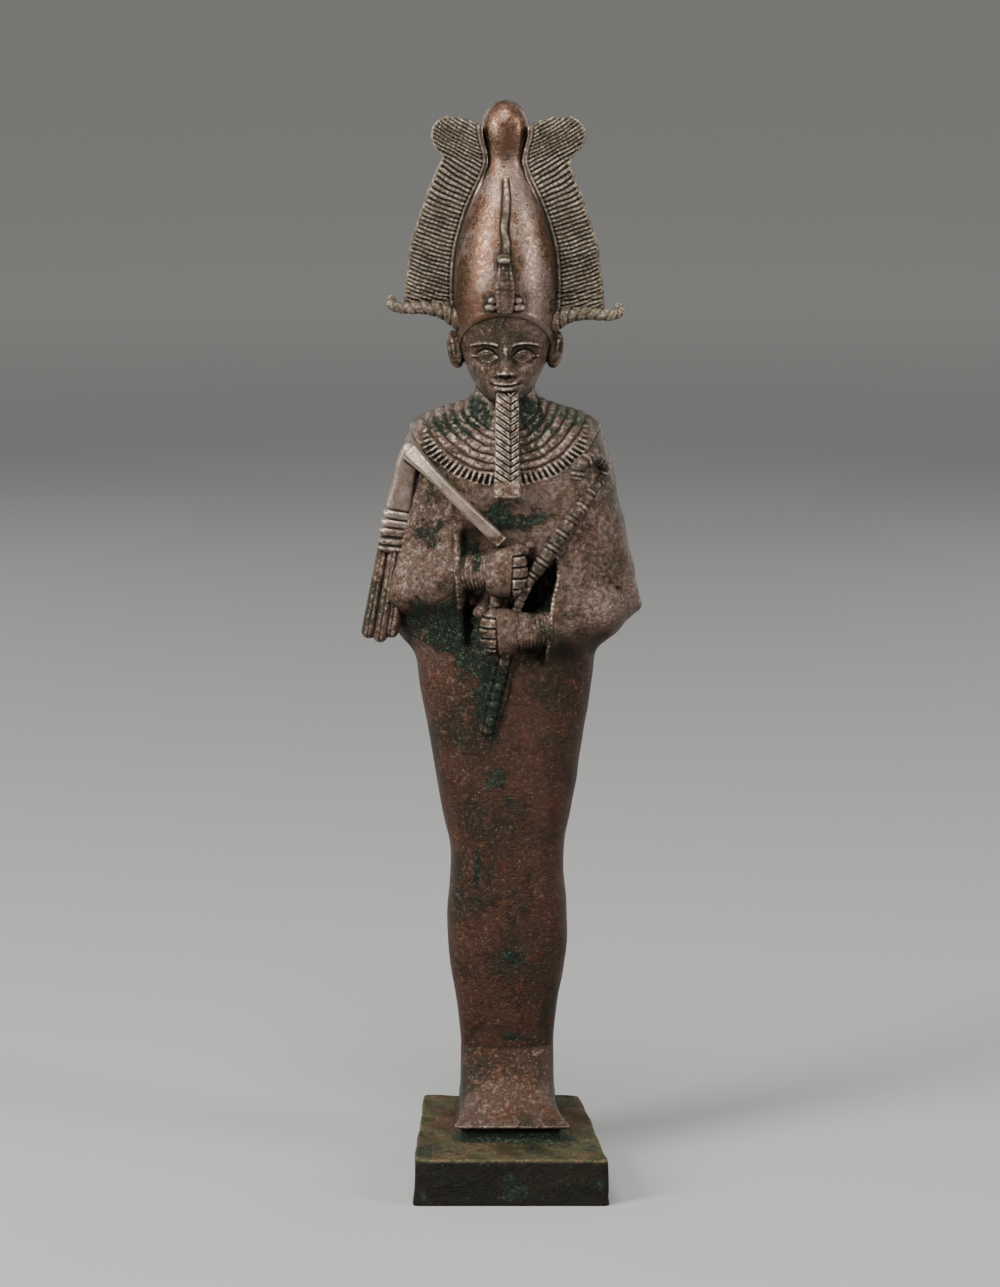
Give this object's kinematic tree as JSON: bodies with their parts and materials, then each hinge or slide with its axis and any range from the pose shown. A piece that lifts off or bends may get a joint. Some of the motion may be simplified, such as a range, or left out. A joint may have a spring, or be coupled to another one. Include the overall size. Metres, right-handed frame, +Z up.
{
  "type": "osiris statuette",
  "caption": "Cast bronze votive statuette of a wrapped, crowned god with crook and flail, on a low plinth cast with it.",
  "frame": {"origin": "middle of the plinth's flat underside", "axes": "+Z up to the crown's knob, -Y the way the figure faces, +X to its left hand, the viewer's right"},
  "size_m": [0.0756, 0.064, 0.29],
  "materials": {
    "patinated_bronze": "dark red-brown bronze patina with green in the hollows, worn bright on the edges, satin"
  },
  "bodies": {
    "root": {"osiris_statuette": "patinated_bronze"}
  },
  "joints": []
}
